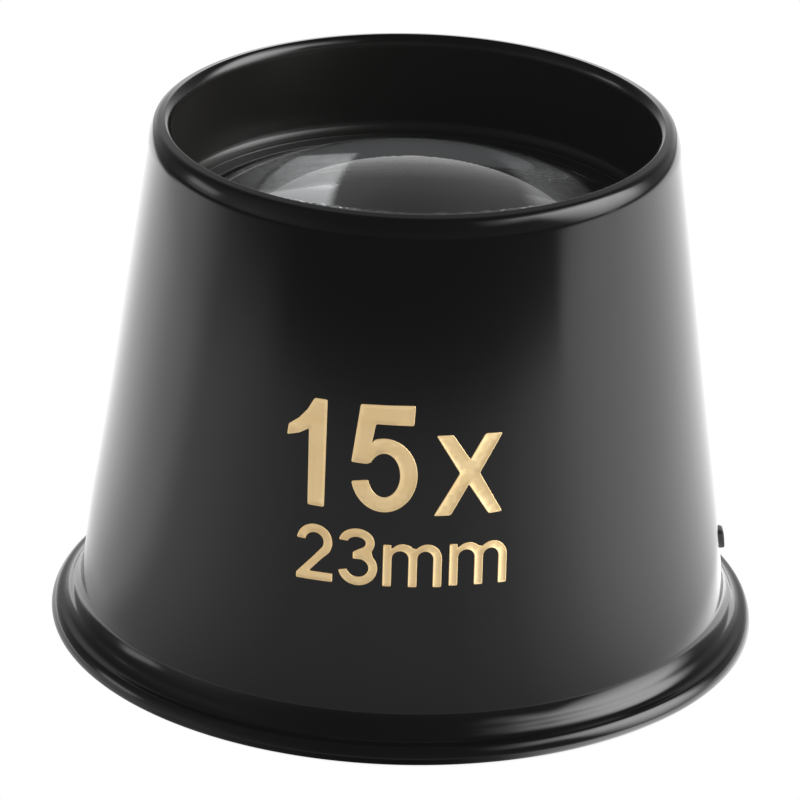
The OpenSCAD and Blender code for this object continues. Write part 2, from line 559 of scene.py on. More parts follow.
class ThreadCutter:
    """Geometry Nodes tree that lays a helical ridge on a round wall."""

    cuts = 96
    tip = 0.05

    def __init__(self) -> None:
        """Build the tree, with named inputs for the helix and its ridge."""
        self.tree = bpy.data.node_groups.new("thread", "GeometryNodeTree")
        face = self.tree.interface
        self.inputs = {
            name: face.new_socket(name, in_out="INPUT", socket_type="NodeSocket" + kind)
            for name, kind in (
                ("Start", "Geometry"),
                ("Radius", "Float"),
                ("Pitch", "Float"),
                ("Turns", "Float"),
                ("Base", "Float"),
                ("Ridge", "Float"),
                ("Run Out", "Float"),
                ("Finish", "Material"),
            )
        }
        face.new_socket("Thread", in_out="OUTPUT", socket_type="NodeSocketGeometry")
        graph = Graph(self.tree)
        given = graph.add("NodeGroupInput").outputs
        helix = graph.add(
            "GeometryNodeCurveSpiral",
            {
                "Resolution": self.cuts,
                "Rotations": given["Turns"],
                "Start Radius": given["Radius"],
                "End Radius": given["Radius"],
                "Height": graph.math("MULTIPLY", given["Pitch"], given["Turns"]),
            },
        )
        level = graph.add(
            "GeometryNodeSetCurveNormal", {"Curve": helix.outputs[0]}, mode="Z_UP"
        )
        ridge = graph.add(
            "GeometryNodeCurvePrimitiveCircle", {"Resolution": 4, "Radius": given["Ridge"]}
        )
        along = graph.add("GeometryNodeSplineParameter").outputs["Factor"]
        turns_in = graph.math("MULTIPLY", along, given["Turns"])
        turns_left = graph.math("SUBTRACT", given["Turns"], turns_in)
        nearest = graph.math("MINIMUM", turns_in, turns_left)
        grown = graph.math("DIVIDE", nearest, given["Run Out"], clamp=True)
        body = graph.add(
            "GeometryNodeCurveToMesh",
            {
                "Curve": level.outputs[0],
                "Profile Curve": ridge.outputs[0],
                "Scale": graph.math("MAXIMUM", grown, self.tip),
                "Fill Caps": True,
            },
        )
        lifted = graph.add("GeometryNodeSetPosition", {"Geometry": body.outputs[0]})
        lift = graph.add("ShaderNodeCombineXYZ", {"Z": given["Base"]})
        graph.feed(lifted.inputs["Offset"], lift.outputs[0])
        real = graph.add("GeometryNodeRealizeInstances", {"Geometry": lifted.outputs[0]})
        dressed = graph.add(
            "GeometryNodeSetMaterial",
            {"Geometry": real.outputs[0], "Material": given["Finish"]},
        )
        graph.add("NodeGroupOutput", {"Thread": dressed.outputs[0]})

    def ridge(
        self, name: str, finish: bpy.types.Material, sizes: Mapping[str, float]
    ) -> bpy.types.Object:
        """Lay one thread.

        Args:
            name: the ridge's name.
            finish: its material.
            sizes: the tree's inputs by name, lengths in millimetres.

        Returns:
            The closed ridge, with flat flanks.
        """
        piece = new_object(name, [(0.0, 0.0, 0.0)])
        modifier = piece.modifiers.new("thread", "NODES")
        modifier.node_group = self.tree
        for key, number in sizes.items():
            unit = 1.0 if key in ("Turns", "Run Out") else MM
            modifier[self.inputs[key].identifier] = number * unit
        modifier[self.inputs["Finish"].identifier] = finish
        return close_up(bake(piece), smooth=False)


class Effects:
    """Shader node groups that several finishes share."""

    rarity = 6.0
    rub_turn = (0.5, 0.2, 0.9)
    rub_stretch = (1.0, 1.0, 0.06)
    rub_span = (0.62, 0.78)
    streak_span = (0.35, 0.7)

    def __init__(self) -> None:
        """Build each group once."""
        self.dust = self._dust()
        self.skin = self._skin()
        self.streaks = self._streaks()

    @staticmethod
    def _group(
        name: str, inputs: Mapping[str, float], outputs: Sequence[str]
    ) -> tuple[bpy.types.NodeTree, Graph, bpy.types.NodeOutputs]:
        """Start a group whose first input is the place on the surface.

        Args:
            name: the group's name.
            inputs: name and usual value of each further input.
            outputs: name of each output.

        Returns:
            The group, its graph and the sockets of its input node.
        """
        tree = bpy.data.node_groups.new(name, "ShaderNodeTree")
        face = tree.interface
        face.new_socket("Vector", in_out="INPUT", socket_type="NodeSocketVector")
        for socket, value in inputs.items():
            made = face.new_socket(socket, in_out="INPUT", socket_type="NodeSocketFloat")
            made.default_value = value
        for socket in outputs:
            face.new_socket(socket, in_out="OUTPUT", socket_type="NodeSocketFloat")
        graph = Graph(tree)
        return tree, graph, graph.add("NodeGroupInput").outputs

    def _dust(self) -> bpy.types.NodeTree:
        """Lay sparse specks of uneven size.

        Returns:
            The group, whose output is 1 where a speck lies.
        """
        tree, graph, given = self._group("dust", {"Scale": 300.0, "Size": 0.05}, ["Specks"])
        cells = graph.add(
            "ShaderNodeTexVoronoi", {"Vector": given["Vector"], "Scale": given["Scale"]}
        )
        chance = graph.add("ShaderNodeSeparateColor", {"Color": cells.outputs["Color"]})
        rare = graph.math("POWER", chance.outputs[0], self.rarity)
        inside = graph.math(
            "LESS_THAN", cells.outputs["Distance"], graph.product(rare, given["Size"])
        )
        graph.add("NodeGroupOutput", {"Specks": inside})
        return tree

    def _skin(self) -> bpy.types.NodeTree:
        """Lay the fine waviness of a moulded or turned surface, and faint rub marks on it.

        Returns:
            The group, with the waves' height and a mask of the marks.
        """
        usual = {"Scale": 400.0, "Rub Scale": 260.0}
        tree, graph, given = self._group("skin", usual, ["Height", "Rub"])
        waves = graph.add(
            "ShaderNodeTexNoise",
            {"Vector": given["Vector"], "Scale": given["Scale"], "Detail": 2.0, "Roughness": 0.4},
        )
        stretched = graph.add(
            "ShaderNodeMapping",
            {
                "Vector": given["Vector"],
                "Rotation": self.rub_turn,
                "Scale": self.rub_stretch,
            },
        )
        marks = graph.add(
            "ShaderNodeTexNoise",
            {"Vector": stretched.outputs[0], "Scale": given["Rub Scale"], "Detail": 3.0},
        )
        rub = graph.ramp(marks.outputs["Fac"], *self.rub_span)
        graph.add("NodeGroupOutput", {"Height": waves.outputs["Fac"], "Rub": rub})
        return tree

    def _streaks(self) -> bpy.types.NodeTree:
        """Lay level streaks, as pressed foil or a turned metal face has.

        Returns:
            The group, whose output is the streaks' mask.
        """
        usual = {"Scale": 500.0, "Stretch": 0.12}
        tree, graph, given = self._group("streaks", usual, ["Streak"])
        scale = graph.add(
            "ShaderNodeCombineXYZ", {"X": given["Stretch"], "Y": given["Stretch"], "Z": 1.0}
        )
        stretched = graph.add(
            "ShaderNodeMapping", {"Vector": given["Vector"], "Scale": scale.outputs[0]}
        )
        bands = graph.add(
            "ShaderNodeTexNoise",
            {"Vector": stretched.outputs[0], "Scale": given["Scale"], "Detail": 4.0},
        )
        streak = graph.ramp(bands.outputs["Fac"], *self.streak_span)
        graph.add("NodeGroupOutput", {"Streak": streak})
        return tree


class Dresser:
    """Starts each material with its shader, its coordinates and the shared effects."""

    def __init__(self, name: str, effects: Effects) -> None:
        """Start a material.

        Args:
            name: the material's name.
            effects: the shared shader groups.
        """
        self.material = bpy.data.materials.new(name)
        self.material.use_nodes = True
        self.effects = effects
        self.graph = Graph(self.material.node_tree)
        self.shader = self.material.node_tree.nodes["Principled BSDF"]
        self.place = self.graph.add("ShaderNodeTexCoord").outputs["Object"]

    def fill(self, node: bpy.types.Node, inputs: Mapping[str, object]) -> None:
        """Set a node's inputs by their names, written with _ for a space."""
        for name, value in inputs.items():
            self.graph.feed(node.inputs[name.replace("_", " ")], value)

    def effect(self, group: bpy.types.NodeTree, **inputs: object) -> bpy.types.NodeOutputs:
        """Place a shared group.

        Args:
            group: the group.
            inputs: values of its inputs.

        Returns:
            The group's outputs.
        """
        node = self.graph.add("ShaderNodeGroup", node_tree=group)
        self.fill(node, {"Vector": self.place, **inputs})
        return node.outputs

    def set(self, **inputs: object) -> None:
        """Set inputs of the shader."""
        self.fill(self.shader, inputs)

    def bump(self, height: Socket, depth: float) -> None:
        """Raise the surface.

        Args:
            height: the height map.
            depth: its depth in millimetres.
        """
        node = self.graph.add(
            "ShaderNodeBump", {"Height": height, "Distance": depth * MM, "Strength": 1.0}
        )
        self.set(Normal=node.outputs[0])


class Finish:
    """A surface finish that makes its own material."""

    name: str

    def build(self, effects: Effects) -> bpy.types.Material:
        """Make the material.

        Args:
            effects: the shared shader groups.

        Returns:
            The material, with its nodes.
        """
        dress = Dresser(self.name, effects)
        self.lay(dress)
        return dress.material

    def lay(self, dress: Dresser) -> None:
        """Set the shader's inputs and lay its patterns; each finish has its own."""
        raise NotImplementedError


@dataclass(frozen=True)
class MouldedPlastic(Finish):
    """Hard black moulding: a gloss outside, a duller bore, a faint waviness and dust."""

    name: str = "moulded_plastic"
    colour: Colour = (0.001, 0.0012, 0.0012)
    bore_colour: Colour = (0.011, 0.0105, 0.009)
    dust_colour: Colour = (0.32, 0.33, 0.33)
    roughness: float = 0.14
    rubbed: float = 0.2
    bore_roughness: float = 0.3
    dust_roughness: float = 0.8
    wave: float = 0.0006
    speck: float = 0.022
    foot_r: float = 17.05
    lean: float = 0.1296
    bore_depth: float = 1.05
    bore_fade: float = 0.1

    def bore(self, dress: Dresser) -> Socket:
        """Tell the inner wall from the rest of the shell.

        Args:
            dress: the material in the making.

        Returns:
            A mask that is 1 where the surface lies well inside the cone.
        """
        graph = dress.graph
        spot = graph.add("ShaderNodeSeparateXYZ", {0: dress.place}).outputs
        cone = graph.total(graph.away(spot), graph.product(spot["Z"], self.lean))
        inwards = graph.math("SUBTRACT", self.foot_r * MM, cone)
        return graph.ramp(inwards, self.bore_depth * MM, (self.bore_depth + self.bore_fade) * MM)

    def lay(self, dress: Dresser) -> None:
        """Set the shader's inputs and lay the patterns on them.

        Args:
            dress: the material in the making.
        """
        graph = dress.graph
        bore = self.bore(dress)
        specks = dress.effect(dress.effects.dust, Scale=260.0, Size=self.speck)["Specks"]
        skin = dress.effect(dress.effects.skin, Scale=420.0)
        shade = graph.blend(bore, self.colour, self.bore_colour)
        gloss = graph.ramp(skin["Rub"], 0.0, 1.0, self.roughness, self.rubbed)
        clean = graph.math("MAXIMUM", gloss, graph.product(bore, self.bore_roughness))
        dusty = graph.product(specks, self.dust_roughness)
        dress.set(
            Base_Color=graph.blend(specks, shade, self.dust_colour),
            Roughness=graph.math("MAXIMUM", clean, dusty),
            IOR=1.5,
        )
        dress.bump(skin["Height"], self.wave)


@dataclass(frozen=True)
class SatinBlack(Finish):
    """Black satin finish of a turned tube or ring, with faint turning lines."""

    name: str
    colour: Colour = (0.012, 0.012, 0.013)
    shine: Colour = (0.03, 0.03, 0.032)
    dust_colour: Colour = (0.3, 0.3, 0.3)
    roughness: float = 0.3
    worn: float = 0.12
    groove: float = 0.0015

    def lay(self, dress: Dresser) -> None:
        """Set the shader's inputs and lay the patterns on them.

        Args:
            dress: the material in the making.
        """
        graph, effects = dress.graph, dress.effects
        lines = dress.effect(effects.streaks, Scale=1400.0, Stretch=0.05)["Streak"]
        specks = dress.effect(effects.dust, Scale=300.0, Size=0.08)["Specks"]
        shade = graph.blend(lines, self.colour, self.shine)
        dress.set(
            Base_Color=graph.blend(specks, shade, self.dust_colour),
            Roughness=graph.ramp(lines, 0.0, 1.0, self.roughness, self.roughness + self.worn),
            IOR=1.5,
        )
        dress.bump(lines, self.groove)


@dataclass(frozen=True)
class LensGlass(Finish):
    """Clear polished glass with a trace of dust on it."""

    name: str = "lens_glass"
    tint: Colour = (0.97, 0.985, 1.0)
    dust_colour: Colour = (0.4, 0.4, 0.4)
    dust_roughness: float = 0.7
    index: float = 1.52
    speck: float = 0.05

    def lay(self, dress: Dresser) -> None:
        """Set the shader's inputs and lay the patterns on them.

        Args:
            dress: the material in the making.
        """
        specks = dress.effect(dress.effects.dust, Scale=420.0, Size=self.speck)["Specks"]
        dress.set(
            Base_Color=dress.graph.blend(specks, self.tint, self.dust_colour),
            Roughness=dress.graph.product(specks, self.dust_roughness),
            IOR=self.index,
            Transmission_Weight=1.0,
        )


@dataclass(frozen=True)
class GoldFoil(Finish):
    """Gold foil pressed on the cone: level streaks, a fine grain in its gloss, and a painted glow.
    """

    name: str = "gold_foil"
    light: Colour = (1.0, 0.84, 0.50)
    dark: Colour = (0.86, 0.66, 0.34)
    streaked: float = 0.55
    roughness: Span = (0.49, 0.63)
    ripple: float = 0.002
    # painted light: a faint warm emission that brightens the foil beyond what the lamps give
    glow: Colour = (1.0, 0.67, 0.33)
    painted_glow_strength: float = 0.34

    def lay(self, dress: Dresser) -> None:
        """Set the shader's inputs and lay the patterns on them.

        Args:
            dress: the material in the making.
        """
        graph, effects = dress.graph, dress.effects
        streak = dress.effect(effects.streaks, Scale=900.0, Stretch=0.1)["Streak"]
        grain = dress.effect(effects.skin, Scale=2600.0, Rub_Scale=700.0)
        dress.set(
            Base_Color=graph.blend(graph.product(streak, self.streaked), self.light, self.dark),
            Metallic=1.0,
            Roughness=graph.ramp(grain["Height"], 0.3, 0.7, *self.roughness),
            # the emission below is painted light, a glow that brightens the foil
            Emission_Color=self.glow,
            Emission_Strength=self.painted_glow_strength,
        )
        dress.bump(streak, self.ripple)


def place(
    piece: bpy.types.Object, body: Body, slot: Slot, *nodes: str
) -> bpy.types.Object:
    """Tie a finished piece to the frame.

    Args:
        piece: the finished object.
        body: the body that it moves with.
        slot: the record's slot that its finish belongs to; not used.
        nodes: CAD nodes that it stands for.

    Returns:
        The same object.
    """
    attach(piece, body.value)
    if nodes:
        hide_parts(*nodes)
    log.info("%s: %d faces, on %s", piece.name, len(piece.data.polygons), body.value)
    return piece


@dataclass
class Housing:
    """Moulded conical shell with its flange, its rolled rim and the collar for the barrel."""

    envelope: Envelope
    barrel: Envelope
    foot_r: float = 16.75
    flare_z: float = 2.3
    crease_z: float = 2.36
    flare: tuple[tuple[float, float, float], ...] = (
        (0.25, 10, 25), (0.34, 25, 35), (0.20, 35, 44), (0.25, 44, 33), (0.25, 33, 45),
        (0.35, 45, 80), (0.17, 80, 80), (0.17, 80, 44), (0.44, 44, 17), (0.20, 17, -5),
    )
    seat_wall: float = 1.14
    fit: float = 0.03
    wall_t: float = 1.2
    bow: float = 0.08
    brow_z: float = 26.56
    brow_round: float = 1.9
    crown_lean: float = 33.0
    inner_round: float = 0.06
    mouth_round: float = 0.7
    crest_start: float = 84.0
    crest_lean: float = 120.0
    inner_rise: float = 0.06
    crown_end: float = 78.0
    arc_gap: float = 4.0
    wall_gap: float = 0.06
    collar_gap: float = 0.1
    brow_gap: float = 0.1
    low_reach: float = 0.9
    low_points: int = 11
    low_turn: float = 8.4
    flare_cuts: int = 5
    ledge_t: float = 0.7
    ledge_fillet: float = 0.58
    lip_round: float = 0.06
    collar_h: float = 6.5
    rim_r: float = 12.3
    eye_round: float = 0.45
    gate_z: float = 4.05
    gate_turn: float = 3.0
    gate_out: float = 0.3
    gate_rise: float = 0.5
    gate_root: float = 0.3
    gate_w: float = 1.1
    gate_taper: float = 0.25
    gate_droop: float = 0.12
    gate_flat: float = 0.3
    gate_back: float = 0.1
    gate_round: float = 0.12

    def cone_r(self, z: float) -> float:
        """Work out the radius of the cone's outer wall, with its slight bow.

        Args:
            z: the height.

        Returns:
            The radius there.
        """
        seat_z = self.barrel.high - self.ledge_t
        seat_r = self.barrel.radius + self.fit + self.seat_wall
        slope = (seat_r - self.foot_r) * (z - self.flare_z) / (seat_z - self.flare_z)
        share = (z - self.flare_z) / (self.envelope.high - self.flare_z)
        return self.foot_r + slope + self.bow * math.sin(math.pi * min(max(share, 0.0), 1.0))

    def inner_r(self, z: float) -> float:
        """Radius of the cone's inner wall at a height."""
        return self.cone_r(z) - self.wall_t

    def crown(self, line: Outline) -> None:
        """Round the cone's upper end: a wide brow outside, a close crown, a rounded mouth.

        Args:
            line: the outline, which has come up the cone as far as the brow.
        """
        high, lean, gap = self.envelope.high, math.radians(self.crown_lean), self.brow_gap
        fall = (self.cone_r(self.brow_z - gap) - self.cone_r(self.brow_z + gap)) / (2 * gap)
        start, brow = math.atan(fall), self.brow_round
        centre = round_point((self.cone_r(self.brow_z), self.brow_z), (-brow, -brow), start)
        line.arc(centre, brow, math.degrees(start), self.crown_lean, steps=12)
        edge_z = line.points[-1][1]
        last = math.radians(self.crown_end)
        close = (high - self.inner_rise - edge_z) / (math.sin(last) - math.sin(lean))
        centre = round_point(line.points[-1], (-close, -close), lean)
        line.arc(centre, close, self.crown_lean + self.arc_gap, self.crown_end, steps=14)
        tip, mouth = self.inner_round, self.mouth_round
        turned = math.radians(self.crest_lean)
        mouth_z = high - tip - (mouth - tip) * math.sin(turned)
        mouth_r = self.inner_r(mouth_z) + mouth
        crest = (mouth_r + (mouth - tip) * math.cos(turned), high - tip)
        line.arc(crest, tip, self.crest_start, self.crest_lean, steps=8)
        line.arc((mouth_r, mouth_z), mouth, self.crest_lean + self.arc_gap, 180, steps=14)

    def skirt(self) -> list[Point]:
        """Work out the flange's outside, from its widest place up to the crease in the cone.

        Returns:
            Its points, upwards; each row of flare gives a length and how its lean changes.
        """
        crease_r = self.cone_r(self.crease_z)
        points = [(crease_r, self.crease_z)]
        cuts = self.flare_cuts
        for length, first, last in self.flare:
            for i in range(cuts):
                lean = math.radians(first + (last - first) * (i + 0.5) / cuts)
                r, z = points[-1]
                step = length / cuts
                points.append((r + step * math.sin(lean), z - step * math.cos(lean)))
        widest = max(r for r, _ in points)
        reach = (self.envelope.radius - crease_r) / (widest - crease_r)
        return [(crease_r + (r - crease_r) * reach, z) for r, z in reversed(points)]

    def section(self) -> Outline:
        """Draw the shell's section, from the flange face up the outside and down the inside.

        Returns:
            The closed section.
        """
        seat = self.barrel.high
        under = seat - self.ledge_t
        collar_z = seat - self.collar_h
        bore = self.barrel.radius + self.fit
        lip, lip_round = self.rim_r + self.fit, self.lip_round
        fillet, fillet_z = self.ledge_fillet, seat + self.ledge_fillet
        edge = self.eye_round
        line = Outline()
        skirt = self.skirt()
        low_r, low_z = skirt[0]
        for i in range(self.low_points):
            turn = math.radians(-90 + self.low_turn * i)
            reach = self.low_reach * (1 - math.cos(turn))
            line.to((low_r - reach, low_z * (1 + math.sin(turn))))
        line.to(*skirt)
        line.follow(self.cone_r, self.crease_z + self.wall_gap, self.brow_z - self.brow_gap, 30)
        self.crown(line)
        mouth_low = self.envelope.high - self.mouth_round - self.wall_gap
        line.follow(self.inner_r, mouth_low, fillet_z, steps=6)
        line.arc((self.inner_r(fillet_z) - fillet, fillet_z), fillet, 0, -90, steps=7)
        line.arc((lip + lip_round, seat - lip_round), lip_round, 90, 180, steps=3)
        line.to((lip, under), (bore, under), (bore, collar_z))
        line.to((self.inner_r(collar_z), collar_z))
        line.follow(self.inner_r, collar_z - self.collar_gap, edge, steps=14)
        line.arc((self.inner_r(edge) + edge, edge), edge, 180, 270, steps=7)
        return line

    def gate_stub(self, finish: bpy.types.Material) -> bpy.types.Object:
        """Shape the torn stub that the mould's gate left on the cone.

        Args:
            finish: the housing's material.

        Returns:
            A small rounded lump, sunk into the wall.
        """
        turn = math.radians(self.gate_turn)
        out = Vector((math.cos(turn), math.sin(turn), 0.0))
        side = Vector((-out.y, out.x, 0.0))
        root = self.cone_r(self.gate_z) - self.gate_root
        lump = bmesh.new()
        bmesh.ops.create_cube(lump, size=1.0)
        for corner in lump.verts:
            depth, width, height = corner.co
            outer, upper = depth > 0, height > 0
            length = self.gate_root + self.gate_out if outer else 0.0
            droop = self.gate_droop * length * (1 if upper else self.gate_flat)
            spot = out * (root + length - (self.gate_back if outer and upper else 0.0))
            spot += side * (width * (self.gate_w - self.gate_taper * length))
            spot += Vector((0.0, 0.0, self.gate_z + self.gate_rise + height - droop))
            corner.co = spot * MM
        stub = solid("gate_stub", lump, finish)
        bevel(stub, self.gate_round, segments=2)
        rounded = stub.modifiers.new("rounded", "SUBSURF")
        rounded.levels = rounded.render_levels = 2
        return close_up(bake(stub))

    def build(self, lathe: Lathe, finish: bpy.types.Material) -> None:
        """Make the shell and the gate's stub and tie them to the frame.

        Args:
            lathe: the tree that turns the shell.
            finish: the moulding's material.
        """
        shell = lathe.turn("moulded_housing", self.section(), finish, steps=300)
        place(shell, Body.HOUSING, Slot.SHELL, "housing")
        place(self.gate_stub(finish), Body.HOUSING, Slot.SHELL)


@dataclass
class Barrel:
    """Tube that carries the lens stack, with a lip over the front lens and a thread."""

    envelope: Envelope
    front_lens: Envelope
    aperture_r: float = 11.5
    rim_r: float = 12.3
    ledge_t: float = 0.7
    lip_t: float = 0.15
    lip_cover: float = 0.5
    lens_fit: float = 0.05
    bore_step: float = 0.5
    spare: float = 0.2
    lead_in: float = 0.3
    lip_round: float = 0.04
    rim_round: float = 0.05
    low_round: float = 0.08
    pitch: float = 0.75
    ridge: float = 0.16
    run_out: float = 0.3
    thread_gap: float = 0.1
    thread_past: float = 0.05

    @property
    def bore_r(self) -> float:
        """Radius of the bore round the lenses."""
        return self.front_lens.radius + self.lens_fit

    @property
    def wide_r(self) -> float:
        """Radius of the wider bore that the retaining ring screws into."""
        return self.front_lens.radius + self.bore_step

    @property
    def ring_high(self) -> float:
        """Height at which the retaining ring bears on the rear lens."""
        return Envelope.of("retaining_ring").high

    def section(self) -> Outline:
        """Draw the tube's section, from the lip round the outside and back up the bore.

        Returns:
            The closed section.
        """
        top, low, outer = self.envelope.high, self.envelope.low, self.envelope.radius
        lip_low = top - self.lip_t
        under = top - self.ledge_t
        lens_edge = lip_low - self.lip_cover - self.lens_fit
        wide_top = self.ring_high + self.spare
        lip, rim, foot = self.lip_round, self.rim_round, self.low_round
        line = Outline()
        line.arc((self.aperture_r + lip, top - lip), lip, 180, 90, steps=3)
        line.arc((self.rim_r - rim, top - rim), rim, 90, 0, steps=3)
        line.to((self.rim_r, under))
        line.arc((outer - rim, under - rim), rim, 90, 0, steps=3)
        line.arc((outer - foot, low + foot), foot, 0, -90, steps=4)
        line.to((self.wide_r + self.lead_in, low), (self.wide_r, low + self.lead_in))
        line.to((self.wide_r, wide_top), (self.bore_r, wide_top + self.wide_r - self.bore_r))
        line.to((self.bore_r, lens_edge), (self.aperture_r, lip_low))
        return line

    def build(self, lathe: Lathe, cutter: ThreadCutter, finish: bpy.types.Material) -> None:
        """Make the tube and its inner thread and tie them to the frame.

        Args:
            lathe: the tree that turns the tube.
            cutter: the tree that lays the thread.
            finish: the tube's material.
        """
        tube = lathe.turn("barrel_tube", self.section(), finish)
        start = self.envelope.low + self.lead_in + self.thread_gap
        sizes = {
            "Radius": self.wide_r,
            "Pitch": self.pitch,
            "Turns": (self.ring_high + self.thread_past - start) / self.pitch,
            "Base": start,
            "Ridge": self.ridge,
            "Run Out": self.run_out,
        }
        thread = cutter.ridge("barrel_thread", finish, sizes)
        place(tube, Body.HOUSING, Slot.BARREL, "lens_barrel")
        place(thread, Body.HOUSING, Slot.BARREL)


@dataclass
class Optics:
    """The front lens, the rear lens and the tube that spaces them."""

    front: Envelope
    rear: Envelope
    spacer: Envelope
    front_radius: float = 22.5
    rear_radius: float = 22.0
    front_edge: float = 1.0
    rear_edge: float = 1.2
    rear_land: float = 0.6
    spacer_wall: float = 0.5
    chamfer: float = 0.1
    broken: float = 0.06
    clear: float = 0.01
    lift: float = 0.22
    dome_cuts: int = 48
    search: float = 0.005

    def dome(self, line: Outline, radius: float, apex: float, rim: float, up: bool) -> None:
        """Add a lens face to an outline.

        Args:
            line: the outline that the face is added to.
            radius: the face's radius.
            apex: height of the face on the axis.
            rim: radius at which the face ends.
            up: whether the face bulges upwards, and so runs from its rim to the axis.
        """
        reach = math.degrees(math.asin(rim / radius))
        centre = apex - radius if up else apex + radius
        first, last = (90.0 - reach, 90.0) if up else (-90.0, -90.0 + reach)
        line.arc((0.0, centre), radius, first, last, self.dome_cuts)
        tip = -1 if up else -(self.dome_cuts + 1)
        line.points[tip] = (0.0, apex)

    def front_section(self) -> Outline:
        """Draw the plano-convex front lens, bevelled to sit under the lip.

        Returns:
            The closed section.
        """
        low, rim = self.front.low + self.clear, self.front.radius
        apex = self.front.high + self.lift
        edge_z = self.front.low + self.front_edge
        centre = apex - self.front_radius
        lean = 0.0
        while math.hypot(rim - lean, edge_z + lean - centre) < self.front_radius:
            lean += self.search
        line = Outline()
        line.to((0.0, low), (rim - self.chamfer, low), (rim, low + self.chamfer))
        line.to((rim, edge_z - self.clear))
        self.dome(line, self.front_radius, apex, rim - lean - self.clear, up=True)
        return line

    def rear_section(self) -> Outline:
        """Draw the biconvex rear lens with a flat land round each face.

        Returns:
            The closed section.
        """
        rim = self.rear.radius
        face_r = rim - self.rear_land
        middle = (self.rear.low + self.rear.high) / 2
        top, bottom = middle + self.rear_edge / 2, middle - self.rear_edge / 2
        line = Outline()
        self.dome(line, self.rear_radius, self.rear.low, face_r, up=False)
        line.to((rim - self.chamfer, bottom), (rim, bottom + self.chamfer))
        line.to((rim, top - self.chamfer), (rim - self.chamfer, top))
        self.dome(line, self.rear_radius, self.rear.high, face_r, up=True)
        return line

    def spacer_section(self) -> Outline:
        """Draw the spacer's plain wall with its broken edges.

        Returns:
            The closed section.
        """
        low, high = self.spacer.low + self.clear, self.spacer.high - self.clear
        outer, inner = self.spacer.radius, self.spacer.radius - self.spacer_wall
        broken = self.broken
        line = Outline()
        line.to((inner, low + broken), (inner + broken, low), (outer - broken, low))
        line.to((outer, low + broken), (outer, high - broken), (outer - broken, high))
        line.to((inner + broken, high), (inner, high - broken))
        return line

    def build(self, lathe: Lathe, glass: bpy.types.Material, black: bpy.types.Material) -> None:
        """Make the three pieces and tie them to the frame.

        Args:
            lathe: the tree that turns them.
            glass: the lenses' material.
            black: the spacer's material.
        """
        front = lathe.turn("front_glass", self.front_section(), glass)
        rear = lathe.turn("rear_glass", self.rear_section(), glass)
        spacer = lathe.turn("spacer_tube", self.spacer_section(), black)
        place(front, Body.HOUSING, Slot.LENS, "front_lens")
        place(rear, Body.LENS_STACK, Slot.LENS, "rear_lens")
        place(spacer, Body.LENS_STACK, Slot.RING, "spacer_ring")


@dataclass
class RetainingRing:
    """Threaded ring with two spanner notches in its eye-side face."""

    envelope: Envelope
    lens_r: float
    clear_r: float = 10.8
    land: float = 0.55
    cone_h: float = 1.0
    notch_w: float = 2.2
    notch_h: float = 0.9
    pitch: float = 0.75
    ridge: float = 0.16
    run_out: float = 0.25
    thread_gap: float = 0.1
    broken: float = 0.08
    cutter_past: float = 1.0
    cutter_round: float = 0.15
    sharp: float = 32.0

    def section(self) -> Outline:
        """Draw the ring's section at the root of its thread.

        Returns:
            The closed section.
        """
        low, high = self.envelope.low, self.envelope.high
        root = self.envelope.radius - self.ridge
        broken = self.broken
        line = Outline()
        line.to((self.clear_r, low + broken), (self.clear_r + broken, low), (root - broken, low))
        line.to((root, low + broken), (root, high - broken), (root - broken, high))
        line.to((self.lens_r - self.land, high), (self.clear_r, high - self.cone_h))
        return line

    def notches(self) -> bpy.types.Object:
        """Make the cutter for both notches, with rounded inner corners.

        Returns:
            The cutter, which the caller removes after use.
        """
        cutter = bmesh.new()
        past = self.cutter_past
        for side in (-1, 1):
            made = bmesh.ops.create_cube(cutter, size=1.0)
            for corner in made["verts"]:
                outer, upper = corner.co.x > 0, corner.co.z > 0
                x = side * (self.envelope.radius + past if outer else self.clear_r - past)
                z = self.envelope.low + (self.notch_h if upper else -past)
                corner.co = Vector((x, corner.co.y * self.notch_w, z)) * MM
        bmesh.ops.recalc_face_normals(cutter, faces=cutter.faces)
        tool = solid("notch_cutter", cutter)
        bevel(tool, self.cutter_round, segments=3)
        return bake(tool)

    def build(self, lathe: Lathe, cutter: ThreadCutter, finish: bpy.types.Material) -> None:
        """Make the ring with its thread and notches and tie it to the frame.

        Args:
            lathe: the tree that turns the ring.
            cutter: the tree that lays its thread.
            finish: the ring's material.
        """
        core = lathe.turn("ring_core", self.section(), finish)
        edge = self.ridge + self.thread_gap
        start = self.envelope.low + edge
        sizes = {
            "Radius": self.envelope.radius - self.ridge,
            "Pitch": self.pitch,
            "Turns": (self.envelope.high - edge - start) / self.pitch,
            "Base": start,
            "Ridge": self.ridge,
            "Run Out": self.run_out,
        }
        thread = cutter.ridge("ring_thread", finish, sizes)
        tool = self.notches()
        for piece in (core, thread):
            cut(piece, tool)
        bpy.data.objects.remove(tool)
        ring = join("clamp_ring", [core, thread])
        ring.data.shade_smooth()
        ring.data.set_sharp_from_angle(angle=math.radians(self.sharp))
        place(ring, Body.LENS_STACK, Slot.RING, "retaining_ring")


class Figure(Enum):
    """Plain figures and letters that the marking uses."""

    ONE = "1"
    FIVE = "5"
    TIMES = "x"
    TWO = "2"
    THREE = "3"
    EM = "m"


@dataclass(frozen=True)
class Bow:
    """Part of an ellipse in a figure's outline, from one angle in degrees to another."""

    centre: Point
    radii: Point
    start: float
    end: float
    steps: int

    def points(self) -> list[Point]:
        """Work out where the bow runs.

        Returns:
            Its points, in order.
        """
        span, steps = self.end - self.start, self.steps
        turns = (math.radians(self.start + span * i / steps) for i in range(steps + 1))
        return [round_point(self.centre, self.radii, turn) for turn in turns]


